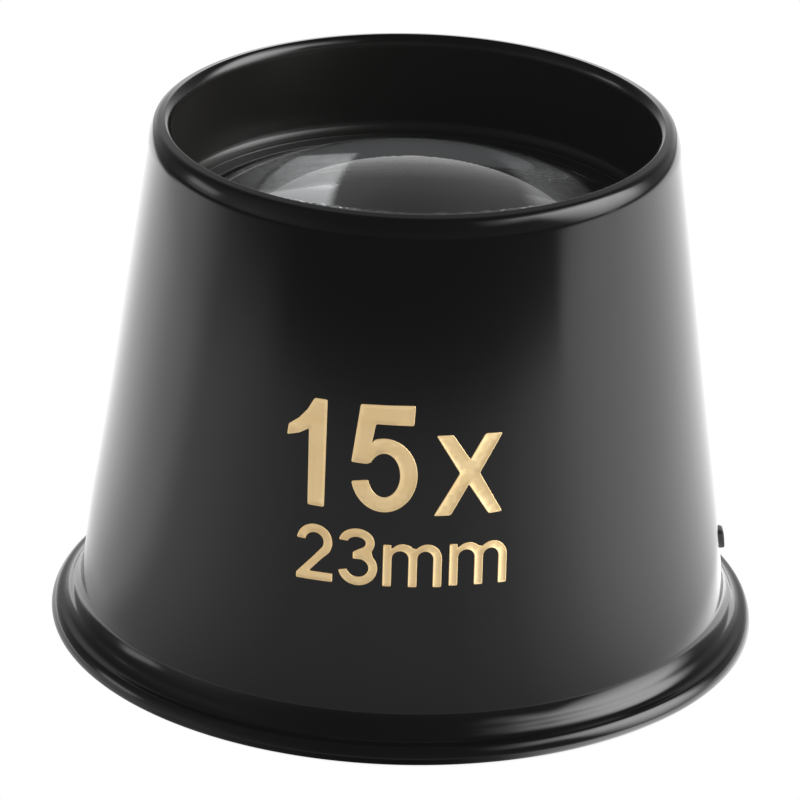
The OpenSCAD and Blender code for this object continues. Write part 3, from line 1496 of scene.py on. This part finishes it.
DRAWN: Mapping[Figure, tuple[Point | Bow, ...]] = {
    Figure.ONE: (
        (0.0, 3.42), (0.08, 3.98), (0.62, 4.38), (1.06, 4.88), (1.42, 5.5),
        (2.08, 5.5), (2.03, 0.02), (1.18, 0.04), (1.16, 3.92), (0.66, 3.62),
    ),
    Figure.FIVE: (
        (0.46, 5.48), (3.18, 5.52), (3.13, 4.50), (1.24, 4.52), (1.05, 3.50),
        Bow((1.70, 1.92), (1.66, 1.88), 108, -168, 40),
        Bow((1.70, 1.92), (0.80, 1.12), -166, 146, 40),
        (0.84, 2.46), (0.05, 2.50),
    ),
    Figure.TIMES: (
        (0.0, 0.0), (0.84, 0.02), (1.72, 1.58), (2.76, 0.02), (3.46, 0.08), (2.26, 2.14),
        (3.38, 4.10), (2.50, 4.12), (1.76, 2.84), (0.88, 4.12), (0.04, 4.10), (1.26, 2.16),
    ),
    Figure.TWO: (
        Bow((0.92, 1.98), (0.92, 0.89), 174, -36, 26),
        (1.30, 1.12), (0.66, 0.43), (1.88, 0.43), (1.88, 0.0), (0.0, 0.0), (0.0, 0.28),
        (0.86, 1.20),
        Bow((0.92, 1.98), (0.48, 0.47), -32, 172, 20),
    ),
    Figure.THREE: (
        Bow((0.92, 2.16), (0.90, 0.73), 172, -34, 24),
        Bow((0.99, 0.88), (0.99, 0.90), 40, -168, 26),
        Bow((0.99, 0.88), (0.55, 0.47), -168, 74, 20),
        (0.74, 1.33), (0.74, 1.68),
        Bow((0.92, 2.16), (0.46, 0.31), -68, 168, 18),
    ),
    Figure.EM: (
        (0.0, 0.0), (0.0, 2.14), (0.40, 2.14), (0.40, 1.92),
        Bow((0.98, 1.46), (0.70, 0.74), 128, 48, 10),
        Bow((2.20, 1.46), (0.73, 0.74), 138, 0, 16),
        (2.93, 0.0), (2.50, 0.0),
        Bow((2.10, 1.44), (0.40, 0.40), 0, 180, 14),
        (1.70, 0.0), (1.27, 0.0),
        Bow((0.85, 1.44), (0.42, 0.40), 0, 180, 14),
        (0.43, 0.0),
    ),
}


def outline_of(figure: Figure) -> list[Point]:
    """Draw a figure's closed outline, in millimetres from its lower left corner.

    Args:
        figure: the figure.

    Returns:
        Its points, in order.
    """
    points: list[Point] = []
    for part in DRAWN[figure]:
        points.extend(part.points() if isinstance(part, Bow) else [part])
    return points


def soften(points: Sequence[Point], radius: float) -> list[Point]:
    """Round the sharp corners of a closed outline.

    Args:
        points: the outline's points, in order.
        radius: how far from a corner the rounding starts.

    Returns:
        The outline with a small curve at each sharp corner.
    """
    sharp, reach, same = math.radians(24), 0.45, 1e-6
    result: list[Point] = []
    count = len(points)
    for i, corner in enumerate(points):
        here = Vector(corner)
        back, ahead = Vector(points[i - 1]) - here, Vector(points[(i + 1) % count]) - here
        if min(back.length, ahead.length) < same:
            continue
        if abs(math.pi - back.angle(ahead)) < sharp:
            result.append(corner)
            continue
        start = here + back.normalized() * min(radius, back.length * reach)
        end = here + ahead.normalized() * min(radius, ahead.length * reach)
        for t in (0.0, 0.25, 0.5, 0.75, 1.0):
            spot = start * (1 - t) ** 2 + here * (2 * t * (1 - t)) + end * t * t
            result.append((spot.x, spot.y))
    return result


def respaced(points: Sequence[Point], gap: float) -> list[Point]:
    """Cut the long straights of a closed outline.

    Args:
        points: the outline's points, in order.
        gap: the furthest that two neighbours may lie apart.

    Returns:
        The outline with points added on its straights.
    """
    result: list[Point] = []
    for p, q in sides(points):
        pieces = max(1, math.ceil(math.dist(p, q) / gap))
        result.extend(part_way(p, q, i / pieces) for i in range(pieces))
    return result


def inset(points: Sequence[Point], depth: float) -> list[Point]:
    """Move a closed outline inwards.

    Args:
        points: the outline's points, clockwise or not.
        depth: how far each point moves.

    Returns:
        The moved points, one for each point given.
    """
    count = len(points)
    area = sum(p[0] * q[1] - q[0] * p[1] for p, q in sides(points))
    side = 1.0 if area > 0 else -1.0
    result: list[Point] = []
    for i, here in enumerate(points):
        along = Vector(points[(i + 1) % count]) - Vector(points[i - 1])
        normal = Vector((-along.y, along.x)).normalized() * side
        result.append((here[0] + normal.x * depth, here[1] + normal.y * depth))
    return result


@dataclass(frozen=True)
class Line:
    """One line of figures: where each stands from the middle of the front, and how high."""

    name: str
    figures: tuple[tuple[Figure, float, float], ...]
    baseline: float
    corner: float
    rim: float


@dataclass
class Marking:
    """Gold figures pressed on the front of the cone."""

    housing: Housing
    lines: tuple[Line, ...] = (
        Line(
            name="power_figures",
            figures=(
                (Figure.ONE, -6.07, 0.02),
                (Figure.FIVE, -2.76, 0.02),
                (Figure.TIMES, 1.45, -0.08),
            ),
            baseline=12.72,
            corner=0.10,
            rim=0.055,
        ),
        Line(
            name="width_figures",
            figures=(
                (Figure.TWO, -5.40, 0.0),
                (Figure.THREE, -3.25, 0.0),
                (Figure.EM, -1.00, 0.02),
                (Figure.EM, 2.30, 0.08),
            ),
            baseline=8.95,
            corner=0.07,
            rim=0.04,
        ),
    )
    sink: float = 0.03
    proud: float = 0.035
    face: float = 0.006
    edge_gap: float = 0.06
    fill_gap: float = 0.28
    fill_clear: float = 0.3
    shoulder: float = 0.6
    rim_steps: tuple[float, float, float] = (0.3, 0.75, 1.35)
    sharp: float = 50.0

    def wrap(self, x: float, z: float, out: float) -> Vector:
        """Give the place on the cone of a point of the marking.

        Args:
            x: distance round the cone from the middle of the front.
            z: height above the flange face.
            out: how far the point stands out of the plastic.

        Returns:
            The place, in millimetres.
        """
        radius = self.housing.cone_r(z)
        turn = x / radius
        lift = radius + out
        return Vector((lift * math.sin(turn), -lift * math.cos(turn), z))

    def stamp(
        self, figure: Figure, corner: float, rim: float
    ) -> tuple[list[Point], list[float], list[list[int]]]:
        """Make the flat mesh of one figure, with a raised rim and a pressed face.

        Args:
            figure: the figure.
            corner: rounding of its sharp corners.
            rim: width of the raised rim.

        Returns:
            The points, how far each stands out, and the faces.
        """
        edge = respaced(soften(outline_of(figure), corner), self.edge_gap)
        levels = zip(self.rim_steps, (self.proud, self.proud, self.face))
        rings = [(edge, -self.sink), (edge, self.proud * self.shoulder)]
        rings += [(inset(edge, rim * step), height) for step, height in levels]
        count = len(edge)
        points = [point for ring, _ in rings for point in ring]
        heights = [height for _, height in rings for _ in range(count)]
        faces: list[list[int]] = []
        for first in range(0, (len(rings) - 1) * count, count):
            for i in range(count):
                a, b = first + i, first + (i + 1) % count
                faces.append([a, b, b + count, a + count])
        inner = rings[-1][0]
        flat = [Vector(p) for p in [*inner, *self.fill_points(inner)]]
        loop = [(i, (i + 1) % count) for i in range(count)]
        made, _, cap, origin, _, _ = delaunay_2d_cdt(flat, loop, [list(range(count))], 1, 1e-6)
        start = (len(rings) - 1) * count
        numbers: list[int] = []
        for i, spot in enumerate(made):
            source = origin[i][0] if origin[i] else len(flat)
            if source < count:
                numbers.append(start + source)
            else:
                numbers.append(len(points))
                points.append((spot.x, spot.y))
                heights.append(self.face)
        faces.extend([numbers[i] for i in triangle] for triangle in cap)
        return points, heights, faces

    def fill_points(self, loop: Sequence[Point]) -> list[Point]:
        """Fill a closed loop with points of a square grid.

        Args:
            loop: the loop.

        Returns:
            Those points of the grid that lie well inside it.
        """
        gap = self.fill_gap
        low_x, high_x = min(p[0] for p in loop), max(p[0] for p in loop)
        low_y, high_y = min(p[1] for p in loop), max(p[1] for p in loop)
        found: list[Point] = []
        y = low_y + gap / 2
        while y < high_y:
            x = low_x + gap / 2
            while x < high_x:
                crossed = sum(
                    (p[1] > y) != (q[1] > y)
                    and x < p[0] + (y - p[1]) / (q[1] - p[1]) * (q[0] - p[0])
                    for p, q in sides(loop)
                )
                if crossed % 2 and min(math.dist((x, y), p) for p in loop) > gap * self.fill_clear:
                    found.append((x, y))
                x += gap
            y += gap
        return found

    def build(self, finish: bpy.types.Material) -> None:
        """Make both lines of figures and tie them to the frame.

        Args:
            finish: the foil's material.
        """
        for line in self.lines:
            points: list[Vector] = []
            faces: list[list[int]] = []
            for figure, left, lift in line.figures:
                flat, heights, cells = self.stamp(figure, line.corner, line.rim)
                start = len(points)
                points.extend(
                    self.wrap(left + x, line.baseline + lift + y, out)
                    for (x, y), out in zip(flat, heights)
                )
                faces.extend([number + start for number in cell] for cell in cells)
            piece = new_object(line.name, points, faces)
            piece.data.materials.append(finish)
            self.face_out(piece)
            place(piece, Body.HOUSING, Slot.MARKING)

    def face_out(self, piece: bpy.types.Object) -> None:
        """Turn the open foil's faces away from the axis and round its rim.

        Args:
            piece: the foil.
        """
        foil = bmesh.new()
        foil.from_mesh(piece.data)
        bmesh.ops.recalc_face_normals(foil, faces=foil.faces)
        turned = sum(
            face.calc_area() * face.normal.dot(face.calc_center_median() * Vector((1, 1, 0)))
            for face in foil.faces
        )
        if turned < 0:
            bmesh.ops.reverse_faces(foil, faces=foil.faces)
        for face in foil.faces:
            face.smooth = True
        foil.to_mesh(piece.data)
        foil.free()
        piece.data.set_sharp_from_angle(angle=math.radians(self.sharp))


@dataclass(frozen=True)
class Floor:
    """Table top: white to the eye, and as bright as the table was to the gloss.

    Tables over a heading run in degrees from the front, towards +X. Distances are in
    millimetres from the axis.
    """

    reach: float = 1500.0
    drop: float = 0.02
    corners: int = 96
    foot_r: float = 18.3
    foot_ring: Span = (19.6, 23.0)
    foot: Table = (
        (-180, 1.5), (-120, 1.4), (-100, 0.8), (-62, 0.8), (-52, 0.66), (-42, 0.3),
        (-34, 0.33), (-25, 0.15), (-10, 0.05), (2, 0.02), (10, 0.1), (17, 0.41), (21, 1.2),
        (26, 2.5), (36, 4.2), (44, 4.6), (54, 2.9), (70, 2.4), (115, 2.4), (140, 2.0), (180, 1.5),
    )
    contact: Span = (-0.6, 0.4)
    contact_light: float = 0.3
    sheet: Table = (
        (-180, 1.35), (-155, 2.2), (-138, 2.2), (-128, 1.95), (-112, 1.8), (-100, 1.52),
        (-90, 1.4), (-80, 0.88), (-66, 0.8), (-50, 0.6), (-34, 0.45), (-15, 0.42),
        (15, 0.45), (33, 0.62), (50, 1.12), (63, 1.68), (73, 1.93), (85, 2.0),
        (128, 2.0), (140, 2.0), (152, 2.1), (180, 1.35),
    )
    near: Table = ((24, 0.72), (31, 0.84), (40, 0.95), (50, 1.0))
    edge: Table = (
        (-180, 220), (-145, 200), (-132, 110), (-122, 92), (-78, 92), (-60, 112), (58, 112),
        (62, 148), (66, 158), (76, 158), (118, 150), (132, 180), (145, 200), (180, 220),
    )
    fade: Table = (
        (-150, 150), (-120, 60), (-78, 50), (58, 50), (62, 60), (70, 110), (78, 180),
        (118, 180), (150, 150),
    )
    outer: Table = (
        (0, 0.03), (60, 0.035), (110, 0.05), (132, 0.14), (147, 0.45), (160, 0.9),
        (172, 1.4), (180, 1.6),
    )
    card: Table = (
        (-120, 0), (-110, 1.1), (-98, 1.3), (-77, 0.5), (-64, 0.36), (-56, 0.3), (-46, 0),
    )
    card_near: Span = (110.0, 122.0)
    card_far: Span = (162.0, 178.0)
    cup_light: float = 0.11
    cup_wall: float = 1.5
    shade: Table = ((-1.2, 0.5), (-0.35, 1.0))

    def close_light(self, graph: Graph, away: Socket, turn: Socket) -> Socket:
        """Work out the table's light near the loupe, which shades it where they meet.

        Args:
            graph: the floor's graph.
            away: distance from the axis.
            turn: heading of the spot.

        Returns:
            The light.
        """
        start, end = (self.foot_r + edge for edge in self.contact)
        contact = graph.ramp(away, start, end, self.contact_light, 1.0)
        foot = graph.product(graph.steps(turn, self.foot), contact)
        sheet = graph.product(graph.steps(turn, self.sheet), graph.steps(away, self.near))
        return graph.ramp(away, *self.foot_ring, foot, sheet)

    def far_light(self, graph: Graph, away: Socket, turn: Socket) -> Socket:
        """Work out the light past the sheet's edge, with the pale card on the left.

        Args:
            graph: the floor's graph.
            away: distance from the axis.
            turn: heading of the spot.

        Returns:
            The light.
        """
        strip = graph.product(
            graph.ramp(away, *self.card_near), graph.ramp(away, *self.card_far, 1.0, 0.0)
        )
        outer = graph.steps(graph.math("ABSOLUTE", turn), self.outer)
        return graph.total(outer, graph.product(graph.steps(turn, self.card), strip))

    def dress(self, graph: Graph) -> Socket:
        """Work out the floor's surface.

        Args:
            graph: the floor's graph.

        Returns:
            The shader, see-through from below.
        """
        where = graph.add("ShaderNodeTexCoord").outputs["Object"]
        spot = graph.add("ShaderNodeSeparateXYZ", {0: where}).outputs
        away = graph.product(graph.away(spot), 1 / MM)
        turn = graph.heading(spot)
        past = graph.math("SUBTRACT", away, graph.steps(turn, self.edge))
        beyond = graph.ramp(graph.math("DIVIDE", past, graph.steps(turn, self.fade)), 0.0, 1.0)
        near, far = self.close_light(graph, away, turn), self.far_light(graph, away, turn)
        glow = graph.ramp(beyond, 0.0, 1.0, near, far)
        path = graph.add("ShaderNodeLightPath").outputs
        under_cup = graph.math("LESS_THAN", away, self.foot_r - self.cup_wall)
        through = graph.product(under_cup, path["Is Transmission Ray"])
        light = graph.ramp(through, 0.0, 1.0, glow, self.cup_light)
        shade = graph.steps(away, tuple((self.foot_r + edge, level) for edge, level in self.shade))
        lit = graph.add("ShaderNodeEmission", {"Strength": light})
        seen = graph.add("ShaderNodeEmission", {"Strength": shade})
        eye = graph.mix(path["Is Camera Ray"], lit.outputs[0], seen.outputs[0])
        back = graph.add("ShaderNodeNewGeometry").outputs["Backfacing"]
        return graph.mix(back, eye, graph.add("ShaderNodeBsdfTransparent").outputs[0])

    def build(self) -> None:
        """Lay the floor."""
        turns = [math.tau * i / self.corners for i in range(self.corners)]
        rim = [(*round_point((0.0, 0.0), (self.reach, self.reach), t), -self.drop) for t in turns]
        floor = new_object("floor", rim, [list(range(self.corners))])
        material = bpy.data.materials.new("floor")
        material.use_nodes = True
        nodes = material.node_tree.nodes
        nodes.remove(nodes["Principled BSDF"])
        graph = Graph(material.node_tree)
        graph.feed(nodes["Material Output"].inputs["Surface"], self.dress(graph))
        floor.data.materials.append(material)
        floor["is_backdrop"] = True


@dataclass(frozen=True)
class Box:
    """Soft box of the room: headings of its sides, elevations of its edges, soft border."""

    across: Span
    up: Span
    soft: float

    def mask(self, graph: Graph, turn: Socket, rise: Socket) -> Socket:
        """Make the box's mask.

        Args:
            graph: the world's graph.
            turn: heading, in degrees from the front.
            rise: elevation, in degrees.

        Returns:
            A mask that is 1 inside the box.
        """
        half = self.soft / 2
        (left, right), (low, high) = self.across, self.up
        wide = graph.product(
            graph.ramp(turn, left - half, left + half),
            graph.ramp(turn, right - half, right + half, 1.0, 0.0),
        )
        tall = graph.product(
            graph.ramp(rise, low - half, low + half),
            graph.ramp(rise, high - half, high + half, 1.0, 0.0),
        )
        return graph.product(wide, tall)


@dataclass(frozen=True)
class Room:
    """Studio round the loupe: white to the eye, lamps and walls to the gloss.

    Tables over a heading run in degrees from the front, towards +X; tables over a rise run
    in degrees of elevation. A light of 1 is a white that just fills the picture.
    """

    lamp_low: Table = (
        (44, 56), (52, 56), (58, 54), (64, 36), (70, 24), (76, 16), (88, 5), (100, 16), (120, 24),
    )
    lamp_soft: Table = (
        (44, 10), (58, 26), (64, 40), (70, 50), (76, 54), (88, 60), (100, 40), (120, 20),
    )
    lamp_sink: float = 30.0
    lamp_turn: Table = (
        (30, 0), (35, 0.5), (45, 1.2), (49, 2.6), (53, 3.8), (62, 5.2), (71, 6.3), (83, 7.2),
        (98, 6.6), (106, 5.2), (112, 1.5), (118, 0),
    )
    lamp_rise: Table = ((32, 1), (40, 0.9), (46, 0.6), (52, 0.25), (58, 0.05), (64, 0))
    behind_turn: Table = (
        (125, 0), (135, 0.16), (147, 0.5), (160, 1.4), (168, 1.7), (175, 1.6), (180, 1.55),
    )
    behind_rise: Table = (
        (-70, 0), (-30, 0.85), (10, 0.85), (15, 0.62), (19, 0.42), (22, 0.34), (25, 0.3),
        (29, 0.25), (36, 0.2), (45, 0.145), (60, 0.05), (75, 0),
    )
    walls_turn: Table = (
        (-180, 0.05), (-125, 0.08), (-105, 0.18), (-72, 0.32), (-50, 0.14), (-35, 0.07),
        (-20, 0.03), (25, 0.06), (110, 0.2), (138, 0.2), (180, 0.05),
    )
    walls_rise: Table = (
        (-70, 0), (-30, 1.0), (10, 1.0), (25, 0.5), (40, 0.3), (60, 0.15), (80, 0),
    )
    air: float = 0.05
    small: tuple[tuple[Box, float], ...] = (
        (Box((-109, -91), (7, 16), 6), 1.7),
        (Box((-109, -91), (-2, 8), 6), 0.5),
    )
    inner: tuple[tuple[Box, Table], ...] = (
        (
            Box((146.5, 165.5), (8, 48), 2.5),
            ((16, 0.3), (20, 0.35), (27, 0.45), (32, 0.95), (37, 1.8), (42, 2.7), (47, 3.4)),
        ),
        (
            Box((-157, -134), (20, 90), 6),
            (
                (20, 0.1), (26, 0.25), (31, 0.43), (36, 0.7), (41, 1.0), (48, 1.0), (53, 0.5),
                (60, 0.1),
            ),
        ),
        (
            Box((122, 145), (22, 90), 6),
            ((24, 0.3), (30, 0.6), (36, 1.1), (45, 1.4)),
        ),
    )
    inner_rise: Span = (34, 44)
    inner_light: float = 0.3
    inner_depth: Span = (0.5, 3.5)

    def outside(self, graph: Graph, turn: Socket, rise: Socket) -> Socket:
        """Work out the light that the loupe's surfaces see.

        Args:
            graph: the world's graph.
            turn: heading.
            rise: elevation.

        Returns:
            The light from that direction.
        """
        low, soft = graph.steps(turn, self.lamp_low), graph.steps(turn, self.lamp_soft)
        above = graph.math("SUBTRACT", graph.total(rise, self.lamp_sink), low)
        grown = graph.ramp(graph.math("DIVIDE", above, soft), 0.0, 1.0)
        across = graph.steps(turn, self.lamp_turn)
        lamp = graph.product(across, graph.product(grown, graph.steps(rise, self.lamp_rise)))
        behind = graph.product(
            graph.steps(graph.math("ABSOLUTE", turn), self.behind_turn),
            graph.steps(rise, self.behind_rise),
        )
        walls = graph.product(
            graph.steps(turn, self.walls_turn), graph.steps(rise, self.walls_rise)
        )
        small = [graph.product(box.mask(graph, turn, rise), light) for box, light in self.small]
        return graph.total(lamp, behind, walls, self.air, *small)

    def within(self, graph: Graph, turn: Socket, rise: Socket) -> Socket:
        """Work out the light that paths inside the front lens see.

        Args:
            graph: the world's graph.
            turn: heading.
            rise: elevation.

        Returns:
            The light from that direction.
        """
        parts = [
            graph.product(box.mask(graph, turn, rise), graph.steps(rise, light))
            for box, light in self.inner
        ]
        dim = graph.product(graph.ramp(rise, *self.inner_rise), self.inner_light)
        return graph.total(*parts, dim)

    def build(self) -> None:
        """Surround the loupe with the room."""
        world = bpy.data.worlds.new("studio")
        bpy.context.scene.world = world
        world.use_nodes = True
        graph = Graph(world.node_tree)
        direction = graph.add("ShaderNodeTexCoord").outputs["Generated"]
        part = graph.add("ShaderNodeSeparateXYZ", {0: direction}).outputs
        turn = graph.heading(part)
        rise = graph.product(graph.math("ARCSINE", part["Z"]), math.degrees(1.0))
        path = graph.add("ShaderNodeLightPath").outputs
        depth, (least, most) = path["Transmission Depth"], self.inner_depth
        inside = graph.product(
            graph.math("GREATER_THAN", depth, least), graph.math("LESS_THAN", depth, most)
        )
        outside, within = self.outside(graph, turn, rise), self.within(graph, turn, rise)
        sky = graph.ramp(inside, 0.0, 1.0, outside, within)
        background = world.node_tree.nodes["Background"].inputs
        strength = graph.ramp(path["Is Camera Ray"], 0.0, 1.0, sky, 1.0)
        graph.feed(background["Strength"], strength)
        graph.feed(background["Color"], (1.0, 1.0, 1.0))


@dataclass
class Studio:
    """Pale floor, soft light and the camera at the photograph's viewing angle."""

    floor: Floor = Floor()
    room: Room = Room()
    distance: float = 337.23
    pitch: float = 23.508
    roll: float = 1.632
    focal: float = 293.49
    sensor: float = 36.0
    aim_x: float = -0.376
    aim_z: float = 12.143
    clip: Span = (0.01, 10.0)
    veil: float = 0.0045

    def build_camera(self) -> None:
        """Put the camera where the photograph was taken from."""
        tilt, spin = math.radians(self.pitch), math.radians(self.roll)
        ahead = Vector((0.0, math.cos(tilt), -math.sin(tilt)))
        level = Vector((1.0, 0.0, 0.0))
        upright = level.cross(ahead)
        right = level * math.cos(spin) + upright * math.sin(spin)
        top = upright * math.cos(spin) - level * math.sin(spin)
        aim = Vector((self.aim_x, 0.0, self.aim_z))
        camera = bpy.data.objects.new("camera", bpy.data.cameras.new("camera"))
        bpy.context.scene.collection.objects.link(camera)
        axes = Matrix((right, top, -ahead)).transposed().to_4x4()
        camera.matrix_world = Matrix.Translation((aim - ahead * self.distance) * MM) @ axes
        camera.data.lens = self.focal
        camera.data.sensor_width = self.sensor
        camera.data.clip_start, camera.data.clip_end = self.clip
        bpy.context.scene.camera = camera

    def build(self) -> None:
        """Set up the camera, the floor and the light, and lift the picture's black a little."""
        self.build_camera()
        self.floor.build()
        self.room.build()
        view = bpy.context.scene.view_settings
        view.view_transform = "Standard"
        view.use_curve_mapping = True
        view.curve_mapping.black_level = (-self.veil,) * 3
        view.curve_mapping.update()
        log.info("studio: camera %.0f mm away, %.1f degrees up", self.distance, self.pitch)


def corners() -> list[list[float]]:
    """Give the shown object's box as plain numbers."""
    low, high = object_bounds()
    return [list(low), list(high)]


def main() -> None:
    """Build the loupe and its studio."""
    logging.basicConfig(level=logging.INFO, format="%(name)s %(message)s")
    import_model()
    effects = Effects()
    lathe = Lathe()
    cutter = ThreadCutter()
    plastic = MouldedPlastic().build(effects)
    tube_black = SatinBlack("barrel_black").build(effects)
    ring_black = SatinBlack("ring_black", roughness=0.26).build(effects)
    glass = LensGlass().build(effects)
    gold = GoldFoil().build(effects)
    front, rear = Envelope.of("front_lens"), Envelope.of("rear_lens")
    spacer, ring = Envelope.of("spacer_ring"), Envelope.of("retaining_ring")
    barrel = Envelope.of("lens_barrel")
    housing = Housing(envelope=Envelope.of("housing"), barrel=barrel)
    housing.build(lathe, plastic)
    Barrel(envelope=barrel, front_lens=front).build(lathe, cutter, tube_black)
    Optics(front=front, rear=rear, spacer=spacer).build(lathe, glass, ring_black)
    RetainingRing(envelope=ring, lens_r=front.radius).build(lathe, cutter, ring_black)
    Marking(housing=housing).build(gold)
    Studio().build()


if __name__ == "__main__":
    main()
